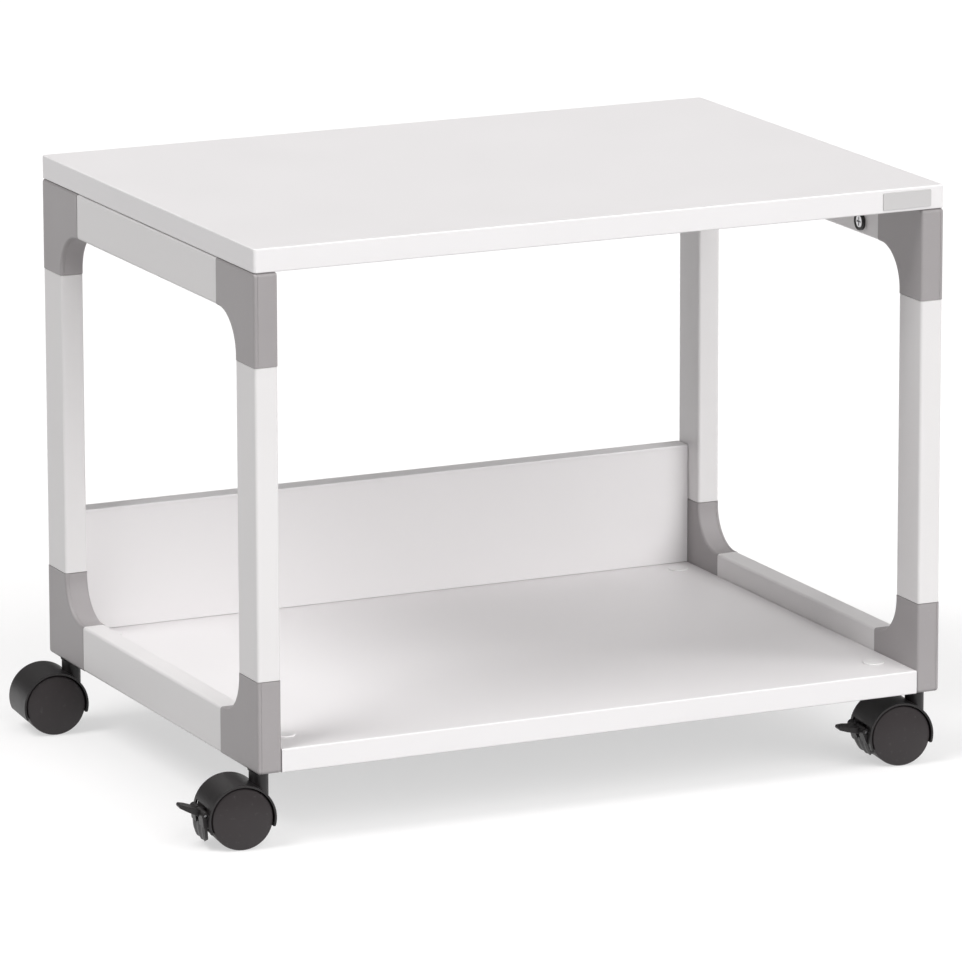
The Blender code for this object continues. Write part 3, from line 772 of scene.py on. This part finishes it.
def dress_kept_nodes():
    """The CAD nodes that stay as they are get the material of their kind."""
    looks = {"stem": ZINC, "axle": ZINC, "brake_pin": ZINC, "socket": SLEEVE_PLASTIC}
    for name, thing in frame["nodes"].items():
        for start, look in looks.items():
            if name.startswith(start + "_"):
                thing.data.materials.clear()
                thing.data.materials.append(look)


# Studio

def add_floor():
    """A wide pale floor. It is white to look at and reflects light as a mid grey one would, so that the
    stand keeps its shaded sides."""
    look = material("studio_floor", (0.44, 0.435, 0.435), 0.7, grain=60.0, relief=0.00002, mottle=0.004)
    nodes, links = look.node_tree.nodes, look.node_tree.links
    shader = nodes["Principled BSDF"]
    shader.inputs["Specular IOR Level"].default_value = 0.1
    shader.inputs["Emission Color"].default_value = (1.0, 1.0, 1.0, 1.0)
    shader.inputs["Emission Strength"].default_value = FLOOR_GLOW
    grey = nodes.new("ShaderNodeBsdfDiffuse")
    grey.inputs["Color"].default_value = (FLOOR_BOUNCE, FLOOR_BOUNCE, FLOOR_BOUNCE, 1.0)
    mixed = nodes.new("ShaderNodeMixShader")
    links.new(nodes.new("ShaderNodeLightPath").outputs["Is Diffuse Ray"], mixed.inputs["Fac"])
    links.new(shader.outputs["BSDF"], mixed.inputs[1])
    links.new(grey.outputs["BSDF"], mixed.inputs[2])
    links.new(mixed.outputs["Shader"], nodes["Material Output"].inputs["Surface"])
    bm = bmesh.new()
    bmesh.ops.create_circle(bm, cap_ends=True, radius=40.0, segments=96)
    floor = bpy.data.objects.new("studio_floor", finished_mesh(bm, "studio_floor"))
    bpy.context.scene.collection.objects.link(floor)
    floor.data.materials.append(look)
    floor.location.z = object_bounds()[0][2] - 0.0002


def add_light():
    """A light tent that is bright above and dim near the floor, a soft key from high on the left and a
    wide fill from the front that makes no highlights. The tent looks white from inside."""
    world = bpy.data.worlds.new("studio")
    bpy.context.scene.world = world
    world.use_nodes = True
    nodes, links = world.node_tree.nodes, world.node_tree.links
    tent = nodes["Background"]
    tent.inputs["Color"].default_value = (1.0, 0.99, 0.985, 1.0)
    place = nodes.new("ShaderNodeTexCoord")
    split = nodes.new("ShaderNodeSeparateXYZ")
    links.new(place.outputs["Generated"], split.inputs["Vector"])
    rise = nodes.new("ShaderNodeMapRange")
    rise.inputs["To Min"].default_value = TENT_HORIZON
    rise.inputs["To Max"].default_value = TENT_ZENITH
    links.new(split.outputs["Z"], rise.inputs["Value"])
    links.new(rise.outputs["Result"], tent.inputs["Strength"])
    white = nodes.new("ShaderNodeBackground")
    white.inputs["Color"].default_value = (1.0, 1.0, 1.0, 1.0)
    mixed = nodes.new("ShaderNodeMixShader")
    links.new(nodes.new("ShaderNodeLightPath").outputs["Is Camera Ray"], mixed.inputs["Fac"])
    links.new(tent.outputs["Background"], mixed.inputs[1])
    links.new(white.outputs["Background"], mixed.inputs[2])
    links.new(mixed.outputs["Shader"], nodes["World Output"].inputs["Surface"])
    for name, towards, strength, spread, highlights in LAMPS:
        lamp = bpy.data.lights.new(name, "SUN")
        lamp.energy = strength
        lamp.angle = spread
        thing = bpy.data.objects.new(name, lamp)
        bpy.context.scene.collection.objects.link(thing)
        thing.rotation_euler = Vector(towards).to_track_quat("Z", "Y").to_euler()
        thing.visible_glossy = highlights


def add_camera():
    look = bpy.data.cameras.new("camera")
    look.sensor_width = SENSOR
    look.lens = LENS
    camera = bpy.data.objects.new("camera", look)
    bpy.context.scene.collection.objects.link(camera)
    backwards = Vector((math.sin(AZIMUTH) * math.cos(ELEVATION),
                        -math.cos(AZIMUTH) * math.cos(ELEVATION), math.sin(ELEVATION)))
    turn = backwards.to_track_quat("Z", "Y").to_matrix().to_4x4() @ Matrix.Rotation(ROLL, 4, "Z")
    camera.matrix_world = Matrix.Translation(TARGET + DISTANCE * backwards) @ turn
    bpy.context.scene.camera = camera


JOINTS = {joint["name"]: joint for joint in frame["joints"]}
add_top_panel()
add_shelf()
add_back_panel()
add_side_frames()
add_casters()
dress_kept_nodes()
add_floor()
add_light()
add_camera()
bpy.context.scene.view_settings.view_transform = "Standard"
